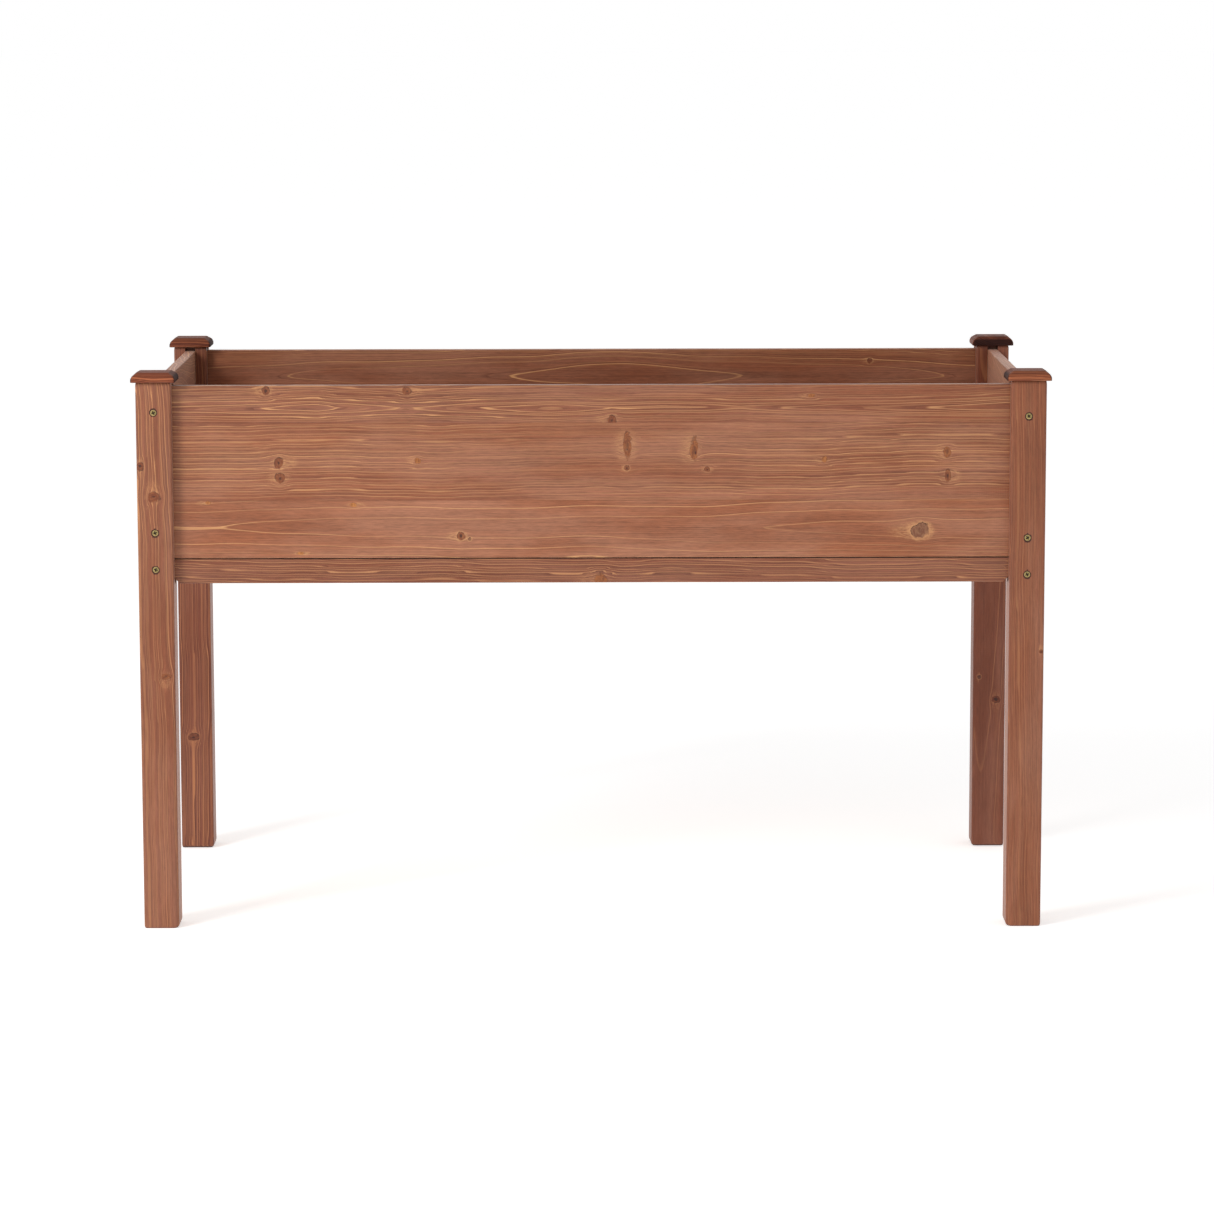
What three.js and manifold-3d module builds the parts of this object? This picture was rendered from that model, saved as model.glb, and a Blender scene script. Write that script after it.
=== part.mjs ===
// Raised planter on legs: a stained fir box, open at the top, on four square posts.
// Millimetres, +Z up. The origin is on the ground at the centre of the footprint, and the front faces -Y.
// Panels and rails slide into grooves in the legs and are held by screws driven through the legs into
// their ends. Ledgers screwed inside the long rails carry a floor of loose slats with drainage gaps.
import * as THREE from "three";
import { mergeVertices } from "three/addons/utils/BufferGeometryUtils.js";
import Module from "manifold-3d";

const wasm = await Module();
wasm.setup();

// Whole object, measured over the post caps.
const LENGTH = 1238;
const DEPTH = 610;
const HEIGHT = 762;
const GAP = 0.3;

// How closely vertices are welded, and how far a cutter runs past the faces that it opens.
const WELD = 1e-4;
const OVERRUN = 5;

// Legs and their caps.
const LEG = 48;
const LEG_EDGE = 3;
const FOOT_EDGE = 2;
const FOOT_TURN = 0.3;
const LEG_TOP_EDGE = 1;
const CAP_OVERHANG = 6;
const CAP_HEIGHT = 13;
const CAP_LIP = 4;
const CAP_SLOPE = 8.5;
const CAP_CORNER = 3;
const CAP_EDGE = 0.6;
const CAP_BULGE = 0.16;
const CAP_STEPS = 4;

// Panels and rails, which share one thickness and one groove.
const BOARD = 15;
const BOARD_EDGE = 1.2;
const PANEL_TOP = 743;
const PANEL_BOTTOM = 508.2;
const RAIL_TOP = 507;
const RAIL_BOTTOM = 474;
const GROOVE_DEPTH = 12;
const END_PLAY = 0.5;
const TENON_RISE = 7;
const TENON_LENGTH = 18;

// Floor: ledgers inside the long rails, and slats across them.
const LEDGER_THICKNESS = 20;
const LEDGER_TOP = 506;
const LEDGER_BOTTOM = 482;
const SLAT_COUNT = 11;
const SLAT_THICKNESS = 12;
const SLAT_GAP = 7.2;
const FLOOR_PLAY = 1;
const SMALL_EDGE = 1;

// Screws: [length, head radius, shank radius]. Heads are countersunk at 90 degrees, just under the face.
// The cross recess is given as shares of the head's radius, and the point as a share of the shank's.
const LEG_SCREW = [60, 4.3, 2.1];
const LEDGER_SCREW = [30, 3.5, 1.7];
const HEAD_SUNK = 0.6;
const SINK_MARGIN = 0.95;
const SCREW_SIDES = 10;
const SCREW_POINT = 2.6;
const RECESS_LENGTH = 1.1;
const RECESS_WIDTH = 0.22;
const HOLE_SPARE = 1;
const LEVELS = ["top", "middle", "bottom"];
const SCREW_HEIGHTS_A = [708, 545, 495];
const SCREW_HEIGHTS_B = [701, 536, 486];
const LEDGER_SCREW_HEIGHT = 493;
const LEDGER_SCREW_X = [-420, 0, 420];

const legHeight = HEIGHT - CAP_HEIGHT - GAP;
const legX = LENGTH / 2 - CAP_OVERHANG - LEG / 2;
const legY = DEPTH / 2 - CAP_OVERHANG - LEG / 2;

// Corners and sides in order, each a quarter turn from the one before, seen from above.
const CORNERS = [
  { name: "front_left", x: -legX, y: -legY, faceA: "front", faceB: "left" },
  { name: "front_right", x: legX, y: -legY, faceA: "right", faceB: "front" },
  { name: "rear_right", x: legX, y: legY, faceA: "rear", faceB: "right" },
  { name: "rear_left", x: -legX, y: legY, faceA: "left", faceB: "rear" },
];
const SIDES = [
  { name: "front", offset: legY, span: 2 * legX - LEG, ledger: true },
  { name: "right", offset: legX, span: 2 * legY - LEG, ledger: false },
  { name: "rear", offset: legY, span: 2 * legX - LEG, ledger: true },
  { name: "left", offset: legX, span: 2 * legY - LEG, ledger: false },
];

const STAIN = {
  leg: new THREE.MeshStandardMaterial({ color: 0x9a5f48, roughness: 0.55, metalness: 0 }),
  cap: new THREE.MeshStandardMaterial({ color: 0x8a5140, roughness: 0.5, metalness: 0 }),
  panel: new THREE.MeshStandardMaterial({ color: 0xa66c4e, roughness: 0.55, metalness: 0 }),
  rail: new THREE.MeshStandardMaterial({ color: 0xa0654b, roughness: 0.55, metalness: 0 }),
  floor: new THREE.MeshStandardMaterial({ color: 0x9c6850, roughness: 0.65, metalness: 0 }),
  screw: new THREE.MeshStandardMaterial({ color: 0x9b8a58, roughness: 0.35, metalness: 1 }),
};

// A closed geometry as a solid that can be cut.
function toSolid(geometry) {
  const bare = geometry.clone();
  bare.deleteAttribute("normal");
  bare.deleteAttribute("uv");
  const merged = mergeVertices(bare, WELD);
  return new wasm.Manifold(
    new wasm.Mesh({
      numProp: 3,
      vertProperties: merged.attributes.position.array,
      triVerts: new Uint32Array(merged.index.array),
    }),
  );
}

// A cut solid as a geometry again.
function toGeometry(solid) {
  const mesh = solid.getMesh();
  const geometry = new THREE.BufferGeometry();
  geometry.setAttribute("position", new THREE.BufferAttribute(mesh.vertProperties, 3));
  geometry.setIndex(new THREE.BufferAttribute(mesh.triVerts, 1));
  geometry.computeVertexNormals();
  return geometry;
}

function cut(geometry, cutters) {
  const solid = cutters.reduce((left, cutter) => left.subtract(toSolid(cutter)), toSolid(geometry));
  return toGeometry(solid);
}

function shapeOf(points) {
  return new THREE.Shape(points.map(([x, y]) => new THREE.Vector2(x, y)));
}

// An outline in X and Y given a thickness along Z, centred on Z 0, with all its edges eased.
function easedPlate(points, thickness, edge, steps) {
  const geometry = new THREE.ExtrudeGeometry(shapeOf(points), {
    depth: thickness - 2 * edge,
    bevelThickness: edge,
    bevelSize: edge,
    bevelOffset: -edge,
    bevelSegments: steps,
  });
  return geometry.translate(0, 0, edge - thickness / 2);
}

// The same outline in X and Z, with its thickness along Y.
function easedBoard(points, thickness, edge) {
  return easedPlate(points, thickness, edge, 2).rotateX(Math.PI / 2);
}

// Points round a square with rounded corners, anticlockwise.
function roundedSquare(half, radius, steps) {
  const points = [];
  for (let corner = 0; corner < 4; corner++) {
    const turn = (corner * Math.PI) / 2;
    const centre = new THREE.Vector2(half - radius, half - radius).rotateAround(new THREE.Vector2(), turn);
    for (let i = 0; i <= steps; i++) {
      const angle = turn + (i / steps) * (Math.PI / 2);
      points.push([centre.x + radius * Math.cos(angle), centre.y + radius * Math.sin(angle)]);
    }
  }
  return points;
}

// A solid of stacked rounded squares: levels are [half width, z] from the bottom up.
function stackedSquares(levels, radius, steps) {
  const rings = levels.map(([half]) => roundedSquare(half, radius, steps));
  const count = rings[0].length;
  const positions = rings.flatMap((ring, k) => ring.flatMap(([x, y]) => [x, y, levels[k][1]]));
  const index = [];
  for (let k = 0; k + 1 < levels.length; k++) {
    for (let i = 0; i < count; i++) {
      const a = k * count + i;
      const b = k * count + ((i + 1) % count);
      index.push(a, b, b + count, a, b + count, a + count);
    }
  }
  const top = (levels.length - 1) * count;
  for (let i = 1; i + 1 < count; i++) {
    index.push(0, i + 1, i);
    index.push(top, top + i, top + i + 1);
  }
  const geometry = new THREE.BufferGeometry();
  geometry.setAttribute("position", new THREE.Float32BufferAttribute(positions, 3));
  geometry.setIndex(index);
  geometry.computeVertexNormals();
  return geometry;
}

// A turned solid about Z from [radius, z] points that start and end on the axis, from the bottom up.
function turned(points) {
  const profile = points.map(([r, z]) => new THREE.Vector2(r, z));
  return new THREE.LatheGeometry(profile, SCREW_SIDES).rotateX(Math.PI / 2);
}

// A countersunk screw along Z, its head's face at Z -HEAD_SUNK and its tip below, with a cross recess.
function screwGeometry([length, head, shank]) {
  const tip = -HEAD_SUNK - length;
  const blank = turned([
    [0, tip],
    [shank, tip + SCREW_POINT * shank],
    [shank, -HEAD_SUNK - (head - shank)],
    [head, -HEAD_SUNK],
    [0, -HEAD_SUNK],
  ]);
  const slot = new THREE.BoxGeometry(RECESS_LENGTH * head, RECESS_WIDTH * head, head);
  const crossed = new THREE.BoxGeometry(RECESS_WIDTH * head, RECESS_LENGTH * head, head);
  return cut(blank, [slot.translate(0, 0, -HEAD_SUNK), crossed.translate(0, 0, -HEAD_SUNK)]);
}

// The hole such a screw sits in: a countersink a little wider than the head, then a clear bore.
function screwHole([length, head, shank]) {
  const mouth = head + SINK_MARGIN;
  const bore = shank + GAP;
  const bottom = -HEAD_SUNK - length - HOLE_SPARE;
  return turned([
    [0, bottom],
    [bore, bottom],
    [bore, bore - mouth],
    [mouth, 0],
    [mouth, OVERRUN],
    [0, OVERRUN],
  ]);
}

// Where each leg screw goes, in the leg's own frame: face A looks along -Y and face B along -X.
function legScrewPlaces() {
  const onA = SCREW_HEIGHTS_A.map((z, i) => ({
    face: "faceA",
    level: LEVELS[i],
    position: new THREE.Vector3(0, -LEG / 2, z),
    rotation: new THREE.Euler(Math.PI / 2, 0, 0),
  }));
  const onB = SCREW_HEIGHTS_B.map((z, i) => ({
    face: "faceB",
    level: LEVELS[i],
    position: new THREE.Vector3(-LEG / 2, 0, z),
    rotation: new THREE.Euler(0, -Math.PI / 2, 0),
  }));
  return [...onA, ...onB];
}

function placed(geometry, { position, rotation }) {
  const matrix = new THREE.Matrix4().makeRotationFromEuler(rotation).setPosition(position);
  return geometry.clone().applyMatrix4(matrix);
}

// A groove in the leg's +X face, open at the top, ending in a half round below the rail's tenon.
function grooveCutter() {
  const width = BOARD + 2 * GAP;
  const outline = new THREE.Shape();
  outline.moveTo(width / 2, legHeight + OVERRUN);
  outline.lineTo(-width / 2, legHeight + OVERRUN);
  outline.lineTo(-width / 2, RAIL_BOTTOM + TENON_RISE - GAP);
  outline.absarc(0, RAIL_BOTTOM + TENON_RISE - GAP, width / 2, Math.PI, 2 * Math.PI, false);
  const geometry = new THREE.ExtrudeGeometry(outline, {
    depth: 2 * GROOVE_DEPTH,
    bevelEnabled: false,
    curveSegments: 8,
  });
  geometry.rotateX(Math.PI / 2).rotateZ(Math.PI / 2);
  return geometry.translate(LEG / 2 - GROOVE_DEPTH, 0, 0);
}

// A square post standing on Z 0, grooved on +X and +Y, and drilled on -X and -Y.
function legGeometry() {
  const half = LEG / 2;
  const levels = [
    [half - FOOT_EDGE, 0],
    [half - FOOT_TURN * FOOT_EDGE, FOOT_TURN * FOOT_EDGE],
    [half, FOOT_EDGE],
    [half, legHeight - LEG_TOP_EDGE],
    [half - LEG_TOP_EDGE, legHeight],
  ];
  const post = stackedSquares(levels, LEG_EDGE, 2);
  const holes = legScrewPlaces().map((place) => placed(screwHole(LEG_SCREW), place));
  return cut(post, [grooveCutter(), grooveCutter().rotateZ(Math.PI / 2), ...holes]);
}

// A square cap: a short upright lip, then a rounded slope up to a flat top. Its underside is at Z 0.
function capGeometry() {
  const half = LEG / 2 + CAP_OVERHANG;
  const levels = [
    [half - CAP_EDGE, 0],
    [half, CAP_EDGE],
    [half, CAP_LIP],
  ];
  for (let i = 1; i <= CAP_STEPS; i++) {
    const t = i / CAP_STEPS;
    const bulge = CAP_BULGE * Math.sin(Math.PI * t);
    const inset = CAP_SLOPE * (t - bulge);
    levels.push([half - inset, CAP_LIP + (CAP_HEIGHT - CAP_LIP) * Math.min(1, t + bulge * (1 - t))]);
  }
  return stackedSquares(levels, CAP_CORNER, 2);
}

// The bores that the leg screws make in the ends of a board of the given length, in its side's frame.
// Each height is [at the right end, Z].
function endHoles(length, offset, heights) {
  const reach = length / 2 + END_PLAY - GROOVE_DEPTH + LEG;
  return heights.map(([right, z]) =>
    placed(screwHole(LEG_SCREW), {
      position: new THREE.Vector3(right ? reach : -reach, -offset, z),
      rotation: new THREE.Euler(0, right ? Math.PI / 2 : -Math.PI / 2, 0),
    }),
  );
}

// A side's board is centred on X, its mid-plane at Y -offset. Its left end takes the B screws.
function boardLength(side) {
  return side.span + 2 * (GROOVE_DEPTH - END_PLAY);
}

function panelGeometry(side) {
  const half = boardLength(side) / 2;
  const outline = [
    [-half, PANEL_BOTTOM],
    [half, PANEL_BOTTOM],
    [half, PANEL_TOP],
    [-half, PANEL_TOP],
  ];
  const board = easedBoard(outline, BOARD, BOARD_EDGE).translate(0, -side.offset, 0);
  const heights = [
    [false, SCREW_HEIGHTS_B[0]],
    [false, SCREW_HEIGHTS_B[1]],
    [true, SCREW_HEIGHTS_A[0]],
    [true, SCREW_HEIGHTS_A[1]],
  ];
  return cut(board, endHoles(2 * half, side.offset, heights));
}

// The rail's ends are cut away below, so that they end short of the grooves' rounded ends.
function railGeometry(side) {
  const half = boardLength(side) / 2;
  const shoulder = half - TENON_LENGTH;
  const tenon = RAIL_BOTTOM + TENON_RISE;
  const outline = [
    [-shoulder, RAIL_BOTTOM],
    [shoulder, RAIL_BOTTOM],
    [shoulder + TENON_RISE, tenon],
    [half, tenon],
    [half, RAIL_TOP],
    [-half, RAIL_TOP],
    [-half, tenon],
    [-shoulder - TENON_RISE, tenon],
  ];
  const board = easedBoard(outline, BOARD, BOARD_EDGE).translate(0, -side.offset, 0);
  const heights = [
    [false, SCREW_HEIGHTS_B[2]],
    [true, SCREW_HEIGHTS_A[2]],
  ];
  const holes = endHoles(2 * half, side.offset, heights);
  return cut(board, side.ledger ? [...holes, ...ledgerHoles(side)] : holes);
}

function ledgerScrewPlaces(side) {
  const innerFace = -side.offset + BOARD / 2 + GAP + LEDGER_THICKNESS;
  return LEDGER_SCREW_X.map((x) => ({
    position: new THREE.Vector3(x, innerFace, LEDGER_SCREW_HEIGHT),
    rotation: new THREE.Euler(-Math.PI / 2, 0, 0),
  }));
}

function ledgerHoles(side) {
  return ledgerScrewPlaces(side).map((place) => placed(screwHole(LEDGER_SCREW), place));
}

function ledgerGeometry(side) {
  const half = side.span / 2 - END_PLAY;
  const outline = [
    [-half, LEDGER_BOTTOM],
    [half, LEDGER_BOTTOM],
    [half, LEDGER_TOP],
    [-half, LEDGER_TOP],
  ];
  const y = -side.offset + BOARD / 2 + GAP + LEDGER_THICKNESS / 2;
  const board = easedBoard(outline, LEDGER_THICKNESS, SMALL_EDGE).translate(0, y, 0);
  return cut(board, ledgerHoles(side));
}

const innerHalfX = legX - BOARD / 2 - FLOOR_PLAY;
const innerHalfY = legY - BOARD / 2 - FLOOR_PLAY;
const slatWidth = (2 * innerHalfX - (SLAT_COUNT - 1) * SLAT_GAP) / SLAT_COUNT;

// A floor slat, front to back. An end slat is notched round the two legs on its +X side.
function slatGeometry(notched) {
  const x = slatWidth / 2;
  const y = innerHalfY;
  const legFaceX = x - (innerHalfX - (legX - LEG / 2)) - FLOOR_PLAY;
  const legFaceY = legY - LEG / 2 - FLOOR_PLAY;
  const corner = [
    [x, -y],
    [x, y],
  ];
  const notch = [
    [legFaceX, -y],
    [legFaceX, -legFaceY],
    [x, -legFaceY],
    [x, legFaceY],
    [legFaceX, legFaceY],
    [legFaceX, y],
  ];
  const outline = [[-x, -y], ...(notched ? notch : corner), [-x, y]];
  return easedPlate(outline, SLAT_THICKNESS, SMALL_EDGE, 1);
}

function meshOf(name, geometry, material) {
  const mesh = new THREE.Mesh(geometry, material);
  mesh.name = name;
  return mesh;
}

function screwMesh(name, geometry, { position, rotation }) {
  const mesh = meshOf(name, geometry, STAIN.screw);
  mesh.position.copy(position);
  mesh.rotation.copy(rotation);
  return mesh;
}

// A leg with its cap and its six screws. The same assembly stands at each corner, a quarter turn on.
function legGroup(corner, quarterTurns) {
  const group = new THREE.Group();
  group.add(meshOf("leg_" + corner.name, legBlank, STAIN.leg));
  const cap = meshOf("cap_" + corner.name, capBlank, STAIN.cap);
  cap.position.z = legHeight + GAP;
  group.add(cap);
  for (const place of legScrewPlaces()) {
    const name = ["screw", corner.name, "leg", corner[place.face], place.level].join("_");
    group.add(screwMesh(name, legScrewBlank, place));
  }
  group.position.set(corner.x, corner.y, 0);
  group.rotation.z = (quarterTurns * Math.PI) / 2;
  return group;
}

// A side: its panel, the rail under it and, on the long sides, the ledger that carries the floor.
function sideGroup(side, quarterTurns) {
  const group = new THREE.Group();
  group.add(meshOf("panel_" + side.name, panelGeometry(side), STAIN.panel));
  group.add(meshOf("rail_" + side.name, railGeometry(side), STAIN.rail));
  if (side.ledger) {
    group.add(meshOf("ledger_" + side.name, ledgerGeometry(side), STAIN.floor));
    ledgerScrewPlaces(side).forEach((place, i) => {
      group.add(screwMesh("ledger_screw_" + side.name + "_" + (i + 1), ledgerScrewBlank, place));
    });
  }
  group.rotation.z = (quarterTurns * Math.PI) / 2;
  return group;
}

function floorGroup() {
  const group = new THREE.Group();
  const plain = slatGeometry(false);
  const notched = slatGeometry(true);
  for (let i = 0; i < SLAT_COUNT; i++) {
    const atEnd = i === 0 || i === SLAT_COUNT - 1;
    const number = String(i + 1).padStart(2, "0");
    const slat = meshOf("floor_slat_" + number, atEnd ? notched : plain, STAIN.floor);
    slat.position.x = -innerHalfX + slatWidth / 2 + i * (slatWidth + SLAT_GAP);
    slat.rotation.z = i === 0 ? Math.PI : 0;
    group.add(slat);
  }
  group.position.z = LEDGER_TOP + GAP + SLAT_THICKNESS / 2;
  return group;
}

const legBlank = legGeometry();
const capBlank = capGeometry();
const legScrewBlank = screwGeometry(LEG_SCREW);
const ledgerScrewBlank = screwGeometry(LEDGER_SCREW);

const planter = new THREE.Group();
planter.name = "raised_planter";
CORNERS.forEach((corner, i) => planter.add(legGroup(corner, i)));
SIDES.forEach((side, i) => planter.add(sideGroup(side, i)));
planter.add(floorGroup());

export default planter;
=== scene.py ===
"""Looks for the raised planter on legs: stained fir boards and posts, flat bevelled caps and zinc screws.

Each wooden piece is a fine mesh on the CAD node's own box. At every face corner it stores where that point
lay in the log, so that the wood material draws growth rings, knots and fibres that run through the piece.
Metres throughout, in the CAD frame: the front faces -Y and the ground is Z 0.
"""

import functools
import math
from dataclasses import dataclass, field, replace

import bmesh
import bpy
import numpy as np
from mathutils import Matrix, Vector


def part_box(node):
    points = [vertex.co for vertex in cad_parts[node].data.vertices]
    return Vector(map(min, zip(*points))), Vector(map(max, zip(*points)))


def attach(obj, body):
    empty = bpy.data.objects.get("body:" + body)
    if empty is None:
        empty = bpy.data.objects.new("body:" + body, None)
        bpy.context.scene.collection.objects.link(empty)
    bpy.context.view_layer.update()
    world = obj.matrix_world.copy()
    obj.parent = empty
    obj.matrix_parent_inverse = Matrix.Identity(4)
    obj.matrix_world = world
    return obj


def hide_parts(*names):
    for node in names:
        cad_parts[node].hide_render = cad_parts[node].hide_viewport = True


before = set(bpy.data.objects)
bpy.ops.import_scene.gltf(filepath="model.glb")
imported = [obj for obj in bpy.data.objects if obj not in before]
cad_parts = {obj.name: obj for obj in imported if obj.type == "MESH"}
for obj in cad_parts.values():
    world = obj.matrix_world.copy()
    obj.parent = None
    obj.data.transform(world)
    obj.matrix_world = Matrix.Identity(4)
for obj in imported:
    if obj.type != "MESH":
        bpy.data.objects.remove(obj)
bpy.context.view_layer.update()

BODY = "root"
MM = 0.001


def add_object(name, data):
    made = bpy.data.objects.new(name, data)
    bpy.context.scene.collection.objects.link(made)
    return made


# ---- Camera, light and floor ----

CAMERA_AT = (0.0066, -6.1605, 1.3043)
CAMERA_YAW = -0.0024
CAMERA_PITCH = 0.1459
CAMERA_ROLL = -0.0020
LENS_MM = 129.8


def make_camera():
    """A long lens in front of the planter, looking slightly down on it. Angles are in radians."""
    forward = Vector((-math.sin(CAMERA_YAW), math.cos(CAMERA_YAW), -math.tan(CAMERA_PITCH))).normalized()
    level = Vector((math.cos(CAMERA_YAW), math.sin(CAMERA_YAW), 0))
    upright = level.cross(forward)
    right = math.cos(CAMERA_ROLL) * level + math.sin(CAMERA_ROLL) * upright
    up = right.cross(forward)
    data = bpy.data.cameras.new("camera")
    data.lens = LENS_MM
    data.sensor_width = 36
    data.clip_end = 200
    camera = add_object("camera", data)
    turn = Matrix((right, up, -forward)).transposed().to_4x4()
    camera.matrix_world = Matrix.Translation(CAMERA_AT) @ turn
    bpy.context.scene.camera = camera


def make_lamp():
    """A large soft lamp on the front left."""
    data = bpy.data.lights.new("key", "AREA")
    data.size = 1.5
    data.energy = 132
    lamp = add_object("key", data)
    lamp.location = (-3.2, -3.3, 2.7)
    lamp.rotation_euler = (Vector((0, 0, 0.5)) - lamp.location).to_track_quat("-Z", "Y").to_euler()


def make_studio():
    """Surroundings white at the horizon and dimmer overhead."""
    world = bpy.data.worlds.new("studio")
    bpy.context.scene.world = world
    world.use_nodes = True
    nodes = world.node_tree.nodes
    links = world.node_tree.links
    place = nodes.new("ShaderNodeTexCoord")
    height = nodes.new("ShaderNodeSeparateXYZ")
    links.new(place.outputs["Generated"], height.inputs[0])
    glow = nodes.new("ShaderNodeMapRange")
    links.new(height.outputs["Z"], glow.inputs["Value"])
    for name, value in {"From Min": 0.05, "From Max": 0.7, "To Min": 1.0, "To Max": 0.5}.items():
        glow.inputs[name].default_value = value
    links.new(glow.outputs["Result"], nodes["Background"].inputs["Strength"])
    nodes["Background"].inputs["Color"].default_value = (1, 1, 1, 1)
    bpy.context.scene.view_settings.view_transform = "Standard"


def make_floor():
    """A white floor that glows a little, so that it stays pale out to the horizon."""
    mesh = bpy.data.meshes.new("floor")
    shape = bmesh.new()
    bmesh.ops.create_circle(shape, cap_ends=True, segments=96, radius=60)
    shape.to_mesh(mesh)
    shape.free()
    pale = {
        "Base Color": (0.85, 0.85, 0.85),
        "Roughness": 1.0,
        "Specular IOR Level": 0.0,
        "Emission Color": (1, 1, 1),
        "Emission Strength": 0.5,
    }
    mesh.materials.append(Nodes("pale_floor").show(pale))
    add_object("floor", mesh)


# ---- Materials ----


class Nodes:
    """Short calls for building one material's node tree. Values may be numbers or output sockets."""

    def __init__(self, name):
        self.material = bpy.data.materials.new(name)
        self.material.use_nodes = True
        self.tree = self.material.node_tree
        self.surface = self.tree.nodes["Principled BSDF"]

    def put(self, socket, value):
        if isinstance(value, bpy.types.NodeSocket):
            self.tree.links.new(value, socket)
        elif isinstance(value, tuple) and len(value) == 3 and socket.type == "RGBA":
            socket.default_value = (*value, 1)
        else:
            socket.default_value = value

    def math(self, operation, a, b=0.0, c=0.0):
        node = self.tree.nodes.new("ShaderNodeMath")
        node.operation = operation
        for socket, value in zip(node.inputs, (a, b, c)):
            self.put(socket, value)
        return node.outputs[0]

    def times(self, *factors):
        return functools.reduce(lambda a, b: self.math("MULTIPLY", a, b), factors)

    def plus(self, *terms):
        return functools.reduce(lambda a, b: self.math("ADD", a, b), terms)

    def distance(self, a, b):
        return self.math("SQRT", self.plus(self.times(a, a), self.times(b, b)))

    def attribute(self, name, output="Fac"):
        node = self.tree.nodes.new("ShaderNodeAttribute")
        node.attribute_name = name
        return node.outputs[output]

    def split(self, vector):
        node = self.tree.nodes.new("ShaderNodeSeparateXYZ")
        self.put(node.inputs[0], vector)
        return node.outputs

    def join(self, x, y, z):
        node = self.tree.nodes.new("ShaderNodeCombineXYZ")
        for socket, value in zip(node.inputs, (x, y, z)):
            self.put(socket, value)
        return node.outputs[0]

    def noise(self, vector, by, detail=2.0, roughness=0.5):
        """Smooth noise from 0 to 1, about 0.5, on vector times the three numbers in by."""
        scaled = self.tree.nodes.new("ShaderNodeVectorMath")
        scaled.operation = "MULTIPLY"
        self.put(scaled.inputs[0], vector)
        self.put(scaled.inputs[1], by)
        node = self.tree.nodes.new("ShaderNodeTexNoise")
        self.put(node.inputs["Vector"], scaled.outputs[0])
        node.inputs["Scale"].default_value = 1
        node.inputs["Detail"].default_value = detail
        node.inputs["Roughness"].default_value = roughness
        return node.outputs["Fac"]

    def centred(self, noise, amount):
        """Noise as a number about 0."""
        return self.times(self.math("SUBTRACT", noise, 0.5), amount)

    def random(self, value):
        """A random number from 0 to 1 for each different value."""
        node = self.tree.nodes.new("ShaderNodeTexWhiteNoise")
        node.noise_dimensions = "1D"
        self.put(node.inputs["W"], value)
        return node.outputs["Value"]

    def smooth(self, value, low, high, start=0.0, end=1.0):
        """value eased from start at low to end at high, and held beyond."""
        node = self.tree.nodes.new("ShaderNodeMapRange")
        node.interpolation_type = "SMOOTHSTEP"
        for socket, given in zip(node.inputs, (value, low, high, start, end)):
            self.put(socket, given)
        return node.outputs[0]

    def mix(self, share, a, b, blend="MIX"):
        node = self.tree.nodes.new("ShaderNodeMix")
        node.data_type = "RGBA"
        node.blend_type = blend
        self.put(node.inputs[0], share)
        self.put(node.inputs[6], a)
        self.put(node.inputs[7], b)
        return node.outputs[2]

    def bump(self, height, strength, distance):
        node = self.tree.nodes.new("ShaderNodeBump")
        node.inputs["Strength"].default_value = strength
        node.inputs["Distance"].default_value = distance
        self.put(node.inputs["Height"], height)
        return node.outputs[0]

    def show(self, values):
        """Puts the values on the surface's sockets of those names."""
        for name, value in values.items():
            self.put(self.surface.inputs[name], value)
        return self.material


def srgb(red, green, blue):
    """A display colour from 0 to 255 as linear numbers."""
    return tuple(
        c / 12.92 if c <= 0.04045 else ((c + 0.055) / 1.055) ** 2.4
        for c in (red / 255, green / 255, blue / 255)
    )


@dataclass
class Stain:
    """How one kind of piece took the stain. The colours are linear."""

    early: tuple
    early_warm: tuple
    late: tuple
    dark: tuple
    end: tuple
    edge_wear_and_shade: tuple
    amber: tuple
    knot: tuple
    dead_knot: tuple
    bark: tuple
    contrast: float = 1.0
    roughness: float = 0.5
    coarse: float = 1.0
    gloss: float = 0.3
    haze: float = 0.22


LINE_AT = 0.92
WEAK_SPACING = 1.9 * MM
PLANER_MARK = 3.2 * MM


def growth_line(n, grain, years, width, least, fade_at):
    """(light line, dark edge beside it) once for each year, fading along the board. width is the line's
    share of a year, and least is the strength of the weakest line."""
    phase = n.math("FRACT", years)
    vigour = n.random(n.math("FLOOR", years))
    fading = n.smooth(n.noise(grain, fade_at, 1), 0.36, 0.58, 0.4, 1.0)
    strength = n.times(n.math("MULTIPLY_ADD", vigour, 1 - least, least), fading)
    rise = n.smooth(phase, n.math("SUBTRACT", LINE_AT, width), LINE_AT)
    fall = n.smooth(phase, LINE_AT, n.math("MULTIPLY_ADD", width, 0.3, LINE_AT), 1.0, 0.0)
    edge = n.smooth(phase, 0.0, n.times(width, 1.1), 1.0, 0.0)
    return n.times(rise, fall, strength), n.times(edge, strength)


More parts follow.
